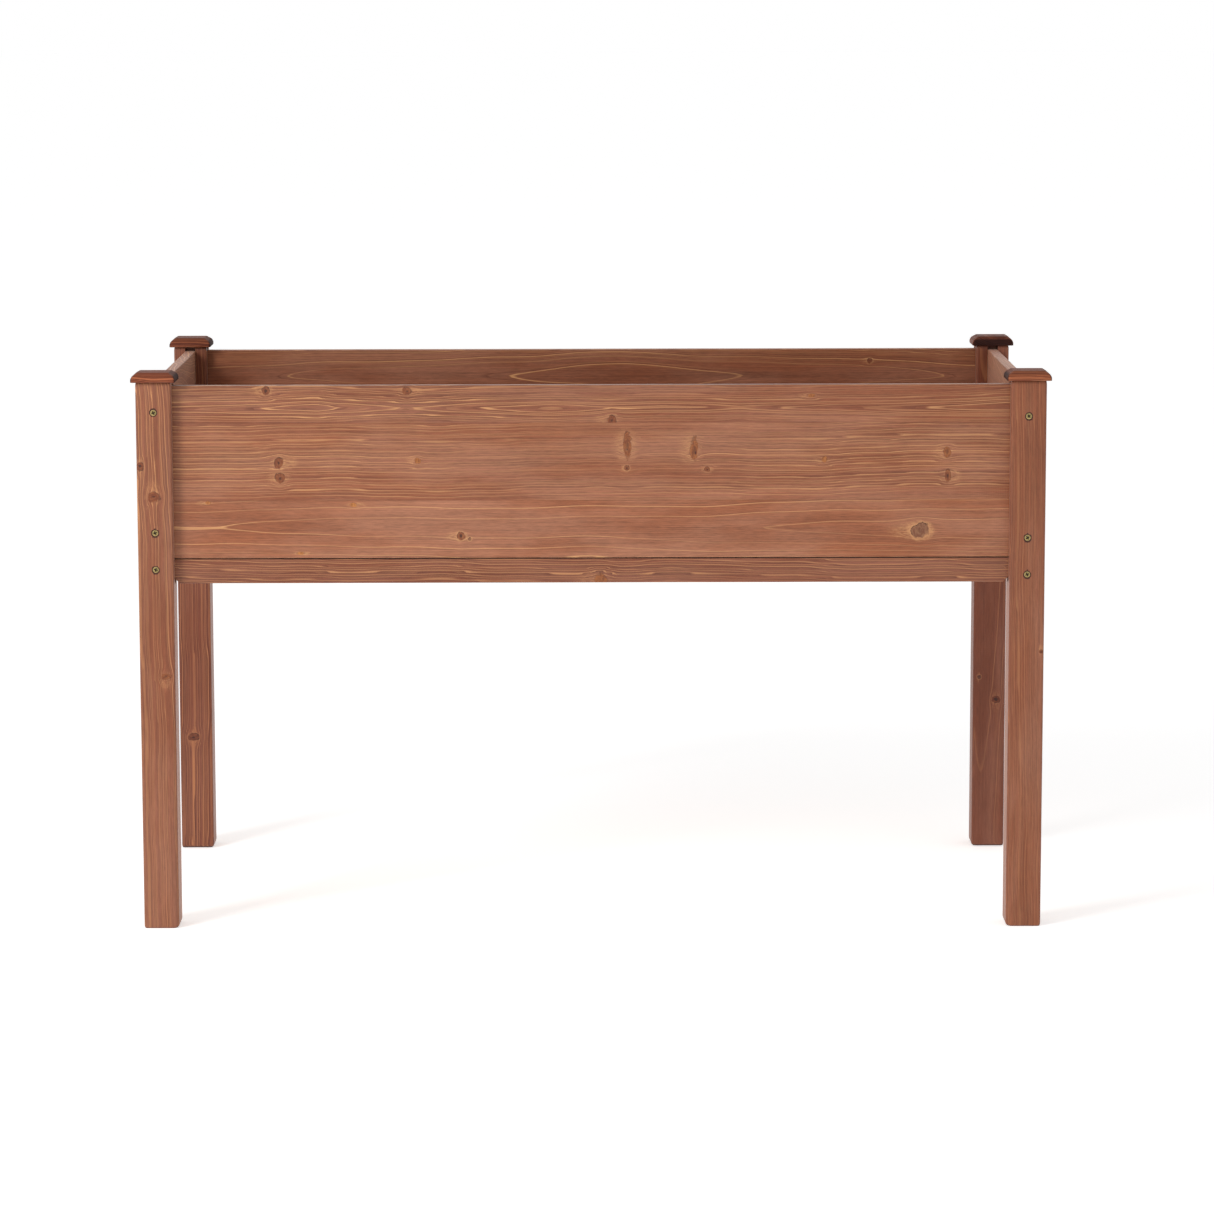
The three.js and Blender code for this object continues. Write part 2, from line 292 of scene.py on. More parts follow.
def growth_rings(n, grain, coarse):
    """(ring number, light lines, dark edges). The rings wander, by less than a light line's width, and where
    they lie close on the face there are weaker years between the strong ones."""
    number, share, spacing = n.split(n.attribute("ring", "Vector"))
    bend = n.centred(n.noise(grain, (3.5, 26, 26), 1), 0.8)
    bend = n.plus(bend, n.centred(n.noise(grain, (14, 110, 110), 2), 0.45))
    ring = n.math("MULTIPLY_ADD", bend, share, number)
    line, shade = growth_line(n, grain, ring, share, 0.55, (2.2, 26, 26))
    weak_years = n.math("MULTIPLY_ADD", ring, n.math("DIVIDE", spacing, WEAK_SPACING), 0.31)
    weak_line, weak_shade = growth_line(n, grain, weak_years, 0.5, 0.0, (3.0, 45, 45))
    close = n.smooth(share, 0.05, 0.16)
    line = n.math("MAXIMUM", line, n.times(weak_line, close, 0.45 * coarse))
    shade = n.math("MAXIMUM", shade, n.times(weak_shade, close, 0.55 * coarse))
    vivid = n.attribute("vivid")
    return ring, n.times(line, vivid), n.times(shade, vivid)


def knot_flare(n, grain, knot_u, knot_v, dark, crumb):
    """The fibres beside a knot stand on end: a light flare along the grain, longer on one side."""
    lean = n.math("MULTIPLY_ADD", n.math("SINE", n.times(dark, 40)), 1.2, knot_u)
    far = n.plus(n.distance(n.times(lean, 0.30), n.times(knot_v, 0.66)), crumb)
    frayed = n.smooth(n.noise(grain, (120, 800, 800), 3, 0.65), 0.36, 0.62)
    return n.times(n.smooth(far, 0.30, 1.05, 1.0, 0.0), frayed, 0.42)


def knot_body(n, grain, near, dark, stain):
    """The colour inside a knot: mottled, with rings of its own."""
    grown = n.math("MULTIPLY_ADD", n.math("SINE", n.times(near, 15.0)), 0.5, 0.5)
    mottle = n.noise(grain, (380, 380, 380), 3, 0.65)
    body = n.mix(n.smooth(dark, 0.1, 0.7), stain.amber, stain.knot)
    body = n.mix(n.smooth(dark, 0.80, 0.98), body, stain.dead_knot)
    body = n.mix(n.times(grown, dark, 0.6), body, stain.dark)
    body = n.mix(n.smooth(mottle, 0.42, 0.66, 0.0, 0.62), body, stain.dark)
    return n.mix(n.smooth(mottle, 0.58, 0.34, 0.0, 0.14), body, stain.late)


def knot_bark(n, near, dark, side):
    """A dark line round most of one side of a knot."""
    line = n.times(n.smooth(near, 0.78, 0.93), n.smooth(near, 0.95, 1.10, 1.0, 0.0))
    return n.times(line, n.smooth(side, -0.5, 0.5, 0.15, 1.0), n.smooth(dark, 0.4, 0.85, 0.3, 0.95))


def add_knots(n, grain, colour, stain):
    """(colour with the knots in it, share of bark). near is 1 at a knot's rim, whose line is uneven."""
    knot_u, knot_v, dark = n.split(n.attribute("knot", "Vector"))
    lump = n.centred(n.noise(grain, (130, 130, 130), 1), 1.1)
    crumb = n.centred(n.noise(grain, (480, 620, 620), 2, 0.6), 0.6)
    near = n.plus(n.distance(knot_u, knot_v), lump, crumb)
    colour = n.mix(knot_flare(n, grain, knot_u, knot_v, dark, crumb), colour, stain.late)
    halo = n.times(n.smooth(near, 1.0, 1.7, 0.4, 0.0), n.smooth(dark, 0.6, 1.0))
    colour = n.mix(halo, colour, stain.late)
    colour = n.mix(n.smooth(near, 0.78, 1.02, 0.9, 0.0), colour, knot_body(n, grain, near, dark, stain))
    side = n.math("MULTIPLY_ADD", n.math("SINE", n.times(dark, 23)), knot_u, knot_v)
    bark = knot_bark(n, near, dark, n.plus(side, lump))
    colour = n.mix(bark, colour, stain.bark)
    heart = n.times(n.smooth(near, 0.10, 0.46, 1.0, 0.0), n.smooth(dark, 0.3, 0.7))
    heart = n.times(heart, n.smooth(dark, 0.93, 0.99, 0.8, 0.16))
    return n.mix(heart, colour, stain.bark), bark


def add_end_grain(n, grain, colour, ring, mask, stain):
    """End grain drinks the stain. The same dark colour paints shade inside the countersinks."""
    pores = n.noise(grain, (1500, 1500, 1500), 2)
    end = n.mix(n.smooth(n.math("FRACT", ring), 0.3, 0.95, 0.0, 0.6), stain.end, stain.dark)
    end = n.mix(n.smooth(pores, 0.35, 0.7, 0.0, 0.35), end, stain.end)
    return n.mix(n.times(mask, 0.9), colour, end)


def wood_material(name, stain):
    """Stained fir: growth rings, knots, end grain and edges, worn lighter on the boards and caps and painted
    darker as shade on the legs, placed by what paint_wood() stored.
    """
    n = Nodes(name)
    grain = n.attribute("grain", "Vector")
    end_and_hole_shade, edge_share, tone = n.split(n.attribute("mark", "Vector"))
    ring, line, shade = growth_rings(n, grain, stain.coarse)
    fibre = n.noise(grain, (80, 1300, 900), 2, 0.6)
    hair = n.noise(grain, (4.0, 820, 400), 1, 0.5)
    streak = n.noise(grain, (1.8, 300, 130), 2, 0.6)
    band = n.noise(grain, (1.2, 42, 42), 2, 0.55)
    blotch = n.noise(grain, (4.0, 17, 17), 3, 0.6)
    cloud = n.noise(grain, (14, 30, 30), 2, 0.5)

    colour = n.mix(n.smooth(blotch, 0.34, 0.66), stain.early, stain.early_warm)
    tint = n.plus(1.0, n.centred(cloud, 0.20))
    for texture, amount in ((band, 0.55), (streak, 0.36), (hair, 0.85), (fibre, 1.0)):
        tint = n.plus(tint, n.centred(texture, amount * stain.coarse))
    colour = n.mix(1.0, colour, n.join(tint, tint, tint), "MULTIPLY")
    colour = n.mix(n.times(shade, 0.52 * stain.contrast), colour, stain.dark)
    colour = n.mix(n.times(line, 0.95 * stain.contrast), colour, stain.late)
    colour, bark = add_knots(n, grain, colour, stain)
    # The end mark also carries the countersinks, where its dark colour is painted shade.
    end_and_hole_shade_mask = n.smooth(end_and_hole_shade, 0.35, 0.85)
    colour = add_end_grain(n, grain, colour, ring, end_and_hole_shade_mask, stain)
    # Edges take the edge colour in patches: lighter wear on the boards and caps, painted shade on the legs.
    rubbed_and_shaded = n.smooth(n.noise(grain, (40, 160, 160), 4, 0.6), 0.42, 0.66)
    colour = n.mix(n.times(edge_share, rubbed_and_shaded, 0.55), colour, stain.edge_wear_and_shade)
    # The pieces that took more stain are redder as well as darker. The same tone also paints shade on the
    # rear legs and light on the side panels.
    deepened = [n.math("MULTIPLY_ADD", tone, amount, 1.0) for amount in (0.16, 0.21, 0.20)]
    colour = n.mix(1.0, colour, n.join(*deepened), "MULTIPLY")

    rough = n.plus(stain.roughness, n.centred(streak, 0.22), n.times(line, -0.08), n.times(end_and_hole_shade_mask, 0.32))
    # The planer left faint ripples across the board, and the soft wood lies lower than the hard.
    ripple = n.math("SINE", n.times(n.split(grain)[0], math.tau / PLANER_MARK))
    ripple = n.times(ripple, n.smooth(cloud, 0.45, 0.7, 0.0, 0.25))
    height = n.plus(n.times(line, 0.6), n.times(fibre, 0.7), n.times(hair, 0.6), ripple, n.times(bark, -0.8))
    return n.show(
        {
            "Base Color": colour,
            "Roughness": rough,
            "Normal": n.bump(height, 0.5, 0.16 * MM),
            "IOR": 1.5,
            "Specular IOR Level": stain.gloss,
            "Coat Weight": 0.05,
            "Coat Roughness": 0.32,
            "Sheen Weight": stain.haze,
            "Sheen Tint": (1.0, 0.72, 0.64),
            "Sheen Roughness": 0.45,
        }
    )


def zinc_material():
    """Yellow zinc plating: uneven yellow-green passivation and driver scratches, with painted shade in the
    recess and on the rim.
    """
    n = Nodes("yellow_zinc")
    place = n.attribute("grain", "Vector")
    dirt = n.attribute("dirt")
    patch = n.noise(place, (330, 330, 330), 3, 0.6)
    scratch = n.noise(place, (900, 5200, 900), 2)
    colour = n.mix(n.smooth(patch, 0.35, 0.65), srgb(182, 158, 106), srgb(144, 128, 84))
    colour = n.mix(n.smooth(scratch, 0.62, 0.78, 0.0, 0.5), colour, srgb(225, 215, 180))
    # Painted shade: the recess and the rim are darkened nearly to black, and are less metallic there.
    colour = n.mix(n.times(dirt, 0.9), colour, srgb(40, 30, 18))
    return n.show(
        {
            "Base Color": colour,
            "Metallic": n.smooth(dirt, 0.1, 0.9, 1.0, 0.3),
            "Roughness": n.smooth(patch, 0.3, 0.7, 0.28, 0.46),
            "Normal": n.bump(scratch, 0.25, 0.06 * MM),
        }
    )


# ---- Wood: where a point lay in the log ----


@dataclass
class Strip:
    """One sawn board. u runs along the grain, v across the face and w through the thickness, all from the
    middle of its node, and low and high are its edges in v.

    pith is the log's centre line in v and w, drift is how far it moves in v per metre of u, and wander is how
    much it weaves. spacing is a year's growth. lift gives (u, ring number) on the face, level with the pith.
    A light line is drawn just below each whole number, so a falling lift opens pointed flames to the right
    and a hollow closes an oval. Each dip (u, v, reach along, reach across, rings) lowers the ring number
    round a point. Each knot is (u, v, half length, half height, darkness). tone is how light the
    board is: its stain, and on the side panels and rear legs also painted light and shade.
    line is how wide its light lines are, vivid how strong, calm how much weaker away from the figure, and
    mixed how much wide years differ from narrow ones."""

    pith: tuple
    spacing: float
    lift: tuple
    drift: float = 0.0
    wander: float = 0.002
    dips: tuple = ()
    knots: tuple = ()
    tone: float = 0.0
    line: float = 1.0 * MM
    vivid: float = 1.0
    calm: float = 0.0
    mixed: float = 1.0
    low: float = -1.0
    high: float = 1.0


WEAVE_LENGTH = 0.42


def weave(u, seed):
    """A smooth curve between about -1 and 1 along u."""
    dice = np.random.default_rng(seed)
    total = np.zeros_like(u)
    for octave in range(3):
        turn = dice.uniform(0, math.tau)
        pace = dice.uniform(0.8, 1.25) * 2**octave / WEAVE_LENGTH
        total += np.sin(math.tau * pace * u + turn) / 1.7**octave
    return total / 1.6


def smooth_curve(u, places, values):
    """A line through the values at the places, held beyond the last and with its corners a little rounded."""
    places = np.array(places)
    values = np.array(values)
    i = np.clip(np.searchsorted(places, u) - 1, 0, len(places) - 2)
    share = np.clip((u - places[i]) / (places[i + 1] - places[i]), 0, 1)
    eased = share + 0.35 * (share * share * (3 - 2 * share) - share)
    return values[i] + (values[i + 1] - values[i]) * eased


LEAST_LINE = 0.17 * MM


def part_round_knots(strip, u, v):
    """v as it was before each knot pushed the fibres aside."""
    for at_u, at_v, half_u, half_v, _ in strip.knots:
        half_v = min(half_v, 1.3 * half_u)
        far = ((u - at_u) / (1.6 * half_u + 2 * MM)) ** 2 + ((v - at_v) / (1.35 * half_v + 0.7 * MM)) ** 2
        v = v - 0.8 * (v - at_v) * np.exp(-far)
    return v


def ring_number(strip, u, v, w, face_w, seed):
    """How many growth rings each point is from the one nearest the pith on the face, and what share of a year
    its light line takes up."""
    pith_v = strip.pith[0] + strip.drift * u + strip.wander * weave(u, seed)
    nearest = abs(face_w - strip.pith[1])
    radius = np.hypot(v - pith_v, w - strip.pith[1])
    number = (radius - nearest) / strip.spacing
    steepness = np.abs(v - pith_v) / radius / strip.spacing
    places, lifts = zip(*strip.lift)
    number += smooth_curve(u, places, lifts)
    for at_u, at_v, reach_u, reach_v, rings in strip.dips:
        number -= rings * np.exp(-(((u - at_u) / reach_u) ** 2) - ((v - at_v) / reach_v) ** 2)
    # Away from the figure in the middle, wide years lie beside narrow ones.
    good_years = 0.30 * np.sin(2.3 * number + seed) + 0.16 * np.sin(5.2 * number + 2 * seed)
    good_years *= strip.mixed
    share = np.clip(LEAST_LINE / strip.spacing + strip.line * steepness, 0, 0.6)
    return number + good_years * (1 - np.exp(-((number / 2) ** 2))), share


NO_KNOT = 9.0


def knot_place(strip, u, v, face_u, face_v):
    """Each point's place in half widths of the knot nearest to its face, and that knot's darkness."""
    place = np.tile((NO_KNOT, 0.0, 0.0), (len(u), 1))
    best = np.full(len(u), NO_KNOT)
    for at_u, at_v, half_u, half_v, dark in strip.knots:
        far = np.hypot((face_u - at_u) / half_u, (face_v - at_v) / half_v)
        nearer = far < best
        best[nearer] = far[nearer]
        here = np.column_stack([(u - at_u) / half_u, (v - at_v) / half_v, np.full(len(u), dark)])
        place[nearer] = here[nearer]
    return place


@dataclass
class Board:
    """A wooden piece's own axes, on its CAD node's box, and the strips that it is glued up from."""

    node: str
    along: Vector
    across: Vector
    through: Vector
    strips: tuple
    seed: int
    edge: float = 1.2 * MM
    centre: Vector = field(init=False)
    half: Vector = field(init=False)

    def __post_init__(self):
        low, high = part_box(self.node)
        self.centre = (low + high) / 2
        size = (high - low) / 2
        self.half = Vector(abs(size.dot(a)) for a in (self.along, self.across, self.through))
        self.axes = np.array([self.along, self.across, self.through])

    def own(self, points):
        return (points - np.array(self.centre)) @ self.axes.T

    def world(self, points):
        return points @ self.axes + np.array(self.centre)


def put_attributes(mesh, **stored):
    for name, values in stored.items():
        kind, key = ("FLOAT", "value") if values.ndim == 1 else ("FLOAT_VECTOR", "vector")
        attribute = mesh.attributes.new(name, kind, "CORNER")
        attribute.data.foreach_set(key, values.astype(np.float32).ravel())


def whole_numbers(items, key):
    values = np.empty(len(items), np.int32)
    items.foreach_get(key, values)
    return values


def vectors(items, key):
    values = np.empty(len(items) * 3)
    items.foreach_get(key, values)
    return values.reshape(-1, 3)


def corner_arrays(mesh):
    """Each face corner's point, and its face's centre and normal."""
    points = vectors(mesh.vertices, "co")[whole_numbers(mesh.loops, "vertex_index")]
    face = np.repeat(np.arange(len(mesh.polygons)), whole_numbers(mesh.polygons, "loop_total"))
    return points, vectors(mesh.polygons, "center")[face], vectors(mesh.polygons, "normal")[face]


def paint_wood(mesh, board):
    """Stores grain, ring, knot, vivid and mark at each face corner, for the wood material."""
    points, centres, normals = corner_arrays(mesh)
    u, v, w = board.own(points).T
    middle_u, middle_v, _ = board.own(centres).T
    ring, knot = np.zeros((2, len(u), 3))
    tone, vivid, shift = np.zeros((3, len(u)))
    fibre_v = v.copy()
    for i, strip in enumerate(board.strips):
        inside = (middle_v >= strip.low) & (middle_v <= strip.high)
        seed = board.seed * 10 + i
        at = u[inside], v[inside]
        fibre_v[inside] = part_round_knots(strip, *at)
        number, share = ring_number(strip, at[0], fibre_v[inside], w[inside], -board.half[2], seed)
        ring[inside] = np.column_stack([number + 40 * i, share, np.full(len(share), strip.spacing)])
        knot[inside] = knot_place(strip, *at, middle_u[inside], middle_v[inside])
        tone[inside] = strip.tone
        vivid[inside] = strip.vivid * (1 - strip.calm * (1 - np.exp(-((number / 3) ** 2))))
        shift[inside] = 0.37 * i
    end = np.abs(normals @ board.axes[0])
    from_v = board.half[1] - np.abs(v)
    from_w = board.half[2] - np.abs(w)
    edge = np.clip(1 - np.maximum(from_v, from_w) / (1.5 * board.edge), 0, 1)
    grain = np.stack([u + 0.31 * board.seed + shift, fibre_v + 0.17 * board.seed + shift, w], 1)
    mark = np.stack([end, edge, tone], 1)
    put_attributes(mesh, grain=grain, ring=ring, knot=knot, vivid=vivid, mark=mark)


# ---- Meshes ----

STEP_ALONG = 4.5 * MM
STEP_ACROSS = 2.8 * MM
SUPPORT = 0.5 * MM
SEAM_HALF = 0.45 * MM
SEAM_DEPTH = 0.28 * MM
END_SCALES = (0.8, 0.55, 0.3, 0.1)


def shares(length, step):
    """Places from 0 to 1 along a flat of that length, about step apart, with one close to each end."""
    near = SUPPORT / length
    count = max(2, round(length / step))
    return np.concatenate([[0], np.linspace(near, 1 - near, count), [1]])


def rounded_section(low, high, radius, parts_v, parts_w, steps=3):
    """A rounded rectangle in v and w, anticlockwise. parts_v and parts_w place the points on its flats."""
    (v0, w0), (v1, w1) = low, high
    flat_v = v0 + radius + parts_v * (v1 - v0 - 2 * radius)
    flat_w = w0 + radius + parts_w * (w1 - w0 - 2 * radius)
    turns = np.arange(1, steps) / steps * math.pi / 2

    def arc(v, w, start):
        return [(v + radius * math.cos(start + t), w + radius * math.sin(start + t)) for t in turns]

    points = [(v, w0) for v in flat_v] + arc(v1 - radius, w0 + radius, -math.pi / 2)
    points += [(v1, w) for w in flat_w] + arc(v1 - radius, w1 - radius, 0)
    points += [(v, w1) for v in flat_v[::-1]] + arc(v0 + radius, w1 - radius, math.pi / 2)
    points += [(v0, w) for w in flat_w[::-1]] + arc(v0 + radius, w0 + radius, math.pi)
    return np.array(points)


def stations(half, edge, knees=()):
    """(u, inset) from end to end. The ends are rounded by edge, and both halves get each knee as well."""
    turn = np.linspace(0, math.pi / 2, 4)
    end = [(-half + edge * (1 - math.sin(t)), edge * (1 - math.cos(t))) for t in turn[::-1]]
    count = max(2, round((2 * half - 2 * edge) / STEP_ALONG))
    places = np.linspace(-half + edge, half - edge, count + 1)[1:-1]
    fixed = [sign * knee for knee in knees for sign in (-1, 1)]
    for place in fixed:
        places = places[np.abs(places - place) > 0.3 * STEP_ALONG]
    flat = [(u, 0.0) for u in sorted([*places, *fixed])]
    return end + flat + [(-u, inset) for u, inset in end[::-1]]


def wrapped(rows, count):
    """The faces round rows of count points each, closed at both ends by a fan to one of two last points."""
    grid = np.arange(rows * count).reshape(rows, count)
    after = np.roll(grid, -1, axis=1)
    faces = np.stack([grid[:-1], after[:-1], after[1:], grid[1:]], -1).reshape(-1, 4).tolist()
    faces += [[rows * count, int(b), int(a)] for a, b in zip(grid[0], after[0])]
    faces += [[rows * count + 1, int(a), int(b)] for a, b in zip(grid[-1], after[-1])]
    return faces


def closed_loft(loops):
    """A closed mesh through loops of equal count, with each end filled by shrinking its loop to a point."""
    first, last = loops[0], loops[-1]

    def shrunk(loop):
        centre = loop.mean(0)
        return [centre + (loop - centre) * s for s in END_SCALES]

    rows = shrunk(first)[::-1] + list(loops) + shrunk(last)
    points = np.concatenate([*rows, [first.mean(0)], [last.mean(0)]])
    return points, wrapped(len(rows), len(first))


def make_mesh(name, points, faces):
    mesh = bpy.data.meshes.new(name)
    mesh.from_pydata(points.tolist(), [], faces)
    shape = bmesh.new()
    shape.from_mesh(mesh)
    bmesh.ops.recalc_face_normals(shape, faces=shape.faces)
    shape.to_mesh(mesh)
    shape.free()
    return mesh


def finish_piece(mesh, node, material, sharp=38):
    """Shows mesh in place of the CAD node."""
    mesh.shade_smooth()
    mesh.set_sharp_from_angle(angle=math.radians(sharp))
    mesh.materials.append(material)
    piece = add_object(node + "_look", mesh)
    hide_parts(node)
    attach(piece, BODY)


def uneven(points, seed, amount, length=0.14):
    """Moves the points in slow swells by up to amount, as timber is never quite true."""
    dice = np.random.default_rng(seed)
    swell = np.zeros(points.shape)
    for _ in range(5):
        direction = dice.normal(size=3)
        direction *= math.tau / (length * np.linalg.norm(direction))
        turn = dice.uniform(0, math.tau, 3)
        wave = points @ direction
        swell += np.sin(wave[:, None] + turn)
    return points + swell * amount / 5


def board_mesh(board, seams=(), extent=None, knees=()):
    """A board with eased edges. Seams are glue lines at those v. extent(u) gives v's limits where they vary,
    and knees are the distances from the middle where they change."""
    half_u, half_v, half_w = board.half
    play = 0.12 * MM
    parts_v = shares(2 * (half_v - board.edge), STEP_ACROSS)
    for seam in seams:
        flat = 2 * (half_v - board.edge)
        share = (seam + half_v - board.edge) / flat
        parts_v = parts_v[np.abs(parts_v - share) > 0.8 * MM / flat]
        near = np.array([-SEAM_HALF, 0, SEAM_HALF]) / flat
        parts_v = np.sort(np.concatenate([parts_v, share + near]))
    parts_w = shares(2 * (half_w - board.edge), 2 * half_w)
    loops = []
    for u, inset in stations(half_u - play, 0.8 * board.edge, knees):
        low_v, high_v = extent(u) if extent else (-half_v, half_v)
        gap = inset + play
        corner = max(board.edge - inset, 0.25 * board.edge)
        low = (low_v + gap, -half_w + gap)
        high = (high_v - gap, half_w - gap)
        section = rounded_section(low, high, corner, parts_v, parts_w)
        for seam in seams:
            on_line = np.abs(section[:, 0] - seam) < 0.2 * MM
            section[on_line, 1] -= np.sign(section[on_line, 1]) * SEAM_DEPTH
        loops.append(np.column_stack([np.full(len(section), u), section]))
    points, faces = closed_loft(loops)
    points = board.world(points)
    return make_mesh(board.node, uneven(points, board.seed, play), faces)


# ---- Cutters and screws ----

COUNTERSINK_MOUTH = 5.25 * MM
BORE = 2.4 * MM
BORE_DEPTH = 9 * MM
HEAD_SUNK = 0.6 * MM
RECESS_HALF = 2.7 * MM
# (head radius, length)
LEG_SCREW = (4.25 * MM, 58 * MM)
LEDGER_SCREW = (3.45 * MM, 28 * MM)
GROOVE_HALF = 7.8 * MM
GROOVE_DEPTH = 12 * MM
GROOVE_END = 480.7 * MM
OVERCUT = 2 * MM
ROUND_SIDES = 40


def lathe(profile):
    """A closed mesh from (radius, height) pairs, turned about Z. It starts and ends on the axis."""
    turn = np.arange(ROUND_SIDES) / ROUND_SIDES * math.tau
    circle = np.column_stack([np.cos(turn), np.sin(turn)])
    rows = [np.insert(radius * circle, 2, height, axis=1) for radius, height in profile[1:-1]]
    ends = [[0, 0, profile[0][1]], [0, 0, profile[-1][1]]]
    return np.concatenate([*rows, ends]), wrapped(len(rows), ROUND_SIDES)


def prism(outline, low, high):
    """A closed mesh: an outline in X and Z, extruded along Y from low to high."""
    count = len(outline)
    front = [(x, low, z) for x, z in outline]
    back = [(x, high, z) for x, z in outline]
    faces = [list(range(count)), list(range(count, 2 * count))[::-1]]
    faces += [[i, (i + 1) % count, count + (i + 1) % count, count + i] for i in range(count)]
    return np.array(front + back), faces


def facing(at, outward, spin=0.0):
    """The placement that takes +Z to outward and the origin to at, turned by spin about its own axis."""
    turn = outward.to_track_quat("Z", "Y").to_matrix().to_4x4()
    return Matrix.Translation(at) @ turn @ Matrix.Rotation(spin, 4, "Z")


def moved(points, placement):
    turn = np.array(placement.to_3x3())
    return points @ turn.T + np.array(placement.translation)


def cut(mesh, cutters):
    """mesh with the closed (points, faces) cutters taken out of it."""
    points = []
    faces = []
    for more_points, more_faces in cutters:
        faces += [[i + len(points) for i in face] for face in more_faces]
        points += more_points.tolist()
    body = add_object("body", mesh)
    tool = add_object("tool", make_mesh("tool", np.array(points), faces))
    modifier = body.modifiers.new("cut", "BOOLEAN")
    modifier.operation = "DIFFERENCE"
    modifier.solver = "EXACT"
    modifier.object = tool
    view = bpy.context.evaluated_depsgraph_get()
    result = bpy.data.meshes.new_from_object(body.evaluated_get(view))
    for thing in (body, tool):
        bpy.data.objects.remove(thing)
    return result


def countersink(at, outward):
    """A cutter for a screw's conical seat and pilot hole."""
    over = 0.8 * MM
    profile = [(0, over), (COUNTERSINK_MOUTH, over), (COUNTERSINK_MOUTH, 0)]
    profile += [(BORE, BORE - COUNTERSINK_MOUTH), (BORE, -BORE_DEPTH), (0, -BORE_DEPTH)]
    points, faces = lathe(profile)
    return moved(points, facing(at, outward)), faces


def cross_recess():
    """Two cutters for a cross recess whose four wings taper towards its floor."""
    floor, depth, half_width = 0.9 * MM, 2.6 * MM, 0.8 * MM
    outline = [(-RECESS_HALF, 0.2 * MM), (RECESS_HALF, 0.2 * MM), (floor, -depth), (-floor, -depth)]
    points, faces = prism(outline, -half_width, half_width)
    return [(moved(points, Matrix.Rotation(turn, 4, "Z")), faces) for turn in (0, math.pi / 2)]


def screw_mesh(head_radius, length):
    """A countersunk screw, its head's face at Z 0: a rounded rim, a cone, and a plain shank with a point."""
    shank = 0.46 * head_radius
    rim = 0.42 * MM
    profile = [(0, 0.02 * MM), (0.25 * head_radius, 0.02 * MM), (0.6 * head_radius, 0.01 * MM)]
    profile += [(head_radius - rim, 0), (head_radius - 0.12 * MM, -0.09 * MM), (head_radius, -0.3 * MM)]
    profile += [(head_radius, -0.45 * MM), (shank, -0.45 * MM - (head_radius - shank))]
    profile += [(shank, -length + 4 * MM), (0.05 * MM, -length), (0, -length)]
    mesh = make_mesh("screw", *lathe(profile))
    for wings in cross_recess():
        mesh = cut(mesh, [wings])
    return mesh


def paint_screw(mesh, seed):
    """Stores where each corner is on its own screw, and how much painted shade darkens the recess and the
    rim.
    """
    points, _, normals = corner_arrays(mesh)
    radius = np.hypot(points[:, 0], points[:, 1])
    sunk = np.clip(-points[:, 2] / (1.1 * MM), 0, 1)
    level = np.abs(normals[:, 2]) > 0.9
    inside = (radius < RECESS_HALF + 0.1 * MM) & ~(level & (points[:, 2] > -0.1 * MM))
    # Painted shade: darkest deep in the recess, faint just round it, and strong on the rim's bevel.
    dirt = np.where(inside, np.clip(0.8 + sunk, 0, 1), 0.25 * (radius < RECESS_HALF + 0.4 * MM))
    dirt = np.where(radius > radius.max() * 0.93, 0.85, dirt)
    put_attributes(mesh, grain=points + 0.05 * seed, dirt=dirt)


def add_screw(node, at, outward, template, material, seed, spin):
    mesh = template.copy()
    paint_screw(mesh, seed)
    mesh.transform(facing(at - outward * HEAD_SUNK, outward, spin))
    finish_piece(mesh, node, material, sharp=30)


# ---- Pieces ----

X, Y, Z = Vector((1, 0, 0)), Vector((0, 1, 0)), Vector((0, 0, 1))
CORNERS = {
    "front_left": (-1, -1),
    "front_right": (1, -1),
    "rear_right": (1, 1),
    "rear_left": (-1, 1),
}


def middle(node):
    low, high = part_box(node)
    return (low + high) / 2


def outward_faces(corner):
    """The leg's two outer faces and their directions."""
    side, end = CORNERS[corner]
    return {("left" if side < 0 else "right"): X * side, ("front" if end < 0 else "rear"): Y * end}


def screws_of_leg(corner):
    """(node name, place on the leg's face, outward direction) of the leg's six screws."""
    found = []
    centre = middle("leg_" + corner)
    for face, outward in outward_faces(corner).items():
        for level in ("top", "middle", "bottom"):
            node = f"screw_{corner}_leg_{face}_{level}"
            at = Vector((centre.x, centre.y, middle(node).z)) + outward * leg_half()
            found.append((node, at, outward))
    return found


def leg_half():
    low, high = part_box("leg_front_left")
    return (high.x - low.x) / 2


def groove_cutter(corner, outward):
    """A cutter for the stopped groove in the leg's face opposite to outward."""
    centre = middle("leg_" + corner)
    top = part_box("leg_" + corner)[1].z + OVERCUT
    turn = np.linspace(math.pi, math.tau, 17)
    outline = [(GROOVE_HALF * math.cos(t), GROOVE_END + GROOVE_HALF * math.sin(t)) for t in turn]
    outline += [(GROOVE_HALF, top), (-GROOVE_HALF, top)]
    points, faces = prism(outline, leg_half() - GROOVE_DEPTH, leg_half() + OVERCUT)
    spin = math.atan2(-outward.y, -outward.x) - math.pi / 2
    place = Matrix.Translation((centre.x, centre.y, 0)) @ Matrix.Rotation(spin, 4, "Z")
    return moved(points, place), faces


def make_leg(corner, strip, seed, material):
    """A square post: its grain runs upright, with w = -half on the front face."""
    board = Board("leg_" + corner, Z, X, Y, (strip,), seed, edge=3 * MM)
    mesh = post_mesh(board)
    for outward in outward_faces(corner).values():
        mesh = cut(mesh, [groove_cutter(corner, outward)])
    finish_screwed(mesh, board, screws_of_leg(corner), material)


def finish_screwed(mesh, board, screws, material):
    """Shows a wooden mesh with a countersunk hole for each screw."""
    holes = [(at, outward) for _, at, outward in screws]
    mesh = cut(mesh, [countersink(*hole) for hole in holes])
    paint_wood(mesh, board)
    darken_holes(mesh, holes)
    finish_piece(mesh, board.node, material)


